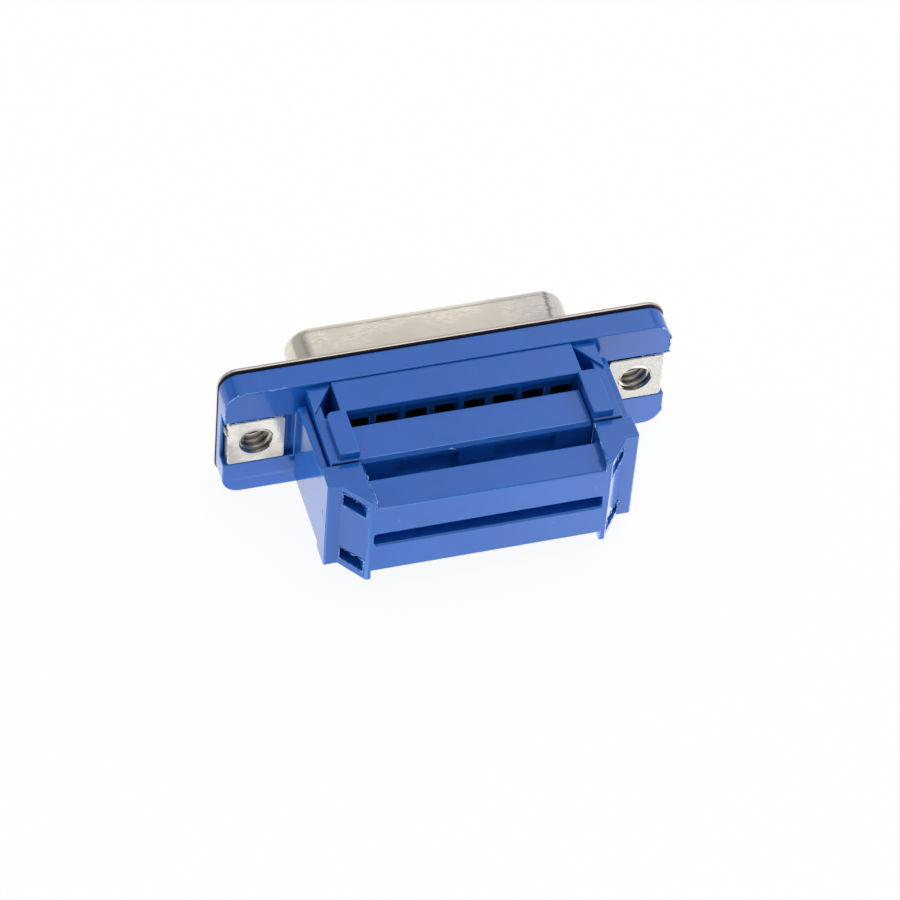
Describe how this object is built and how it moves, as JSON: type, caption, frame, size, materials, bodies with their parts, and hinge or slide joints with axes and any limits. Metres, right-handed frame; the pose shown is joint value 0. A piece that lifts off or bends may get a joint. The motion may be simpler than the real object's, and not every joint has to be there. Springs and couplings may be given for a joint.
{
  "type": "d-sub ribbon cable connector",
  "caption": "D-shaped socket connector for flat ribbon cable: plated steel shell, blue moulded base with threaded inserts, sliding ribbon cover and clip-on strain relief.",
  "frame": {"origin": "midway between the two fixing holes, on the front face of the metal flange", "axes": "+X along the connector, +Y out of the mating nose, +Z towards the wide contact row"},
  "size_m": [0.0392, 0.0212, 0.0126],
  "materials": {
    "blue_moulding": "moulded glossy plastic with fine scuffs",
    "plated_steel": "drawn steel with a thin, slightly mottled plating",
    "nickel_nut": "bright nickel plate with small scratches",
    "gold_contact": "thin gold plate on spring bronze"
  },
  "bodies": {
    "connector": {"front_shell": "plated_steel", "front_insulator": "blue_moulding", "base_housing": "blue_moulding", "threaded_insert_left": "nickel_nut", "threaded_insert_right": "nickel_nut", "contact_01": "gold_contact", "contact_02": "gold_contact", "contact_03": "gold_contact", "contact_04": "gold_contact", "contact_05": "gold_contact", "contact_06": "gold_contact", "contact_07": "gold_contact", "contact_08": "gold_contact", "contact_09": "gold_contact", "contact_10": "gold_contact", "contact_11": "gold_contact", "contact_12": "gold_contact", "contact_13": "gold_contact", "contact_14": "gold_contact", "contact_15": "gold_contact"},
    "ribbon_cover": {"cover": "blue_moulding"},
    "cable_clip": {"strain_relief": "blue_moulding"}
  },
  "joints": [
    {"name": "cover_press", "type": "slide", "parent": "connector", "child": "ribbon_cover", "axis": [0, -1, 0], "range_m": [-0.0006, 0.0006]},
    {"name": "clip_pull", "type": "slide", "parent": "connector", "child": "cable_clip", "axis": [0, -1, 0], "range_m": [0, 0.0085]}
  ]
}
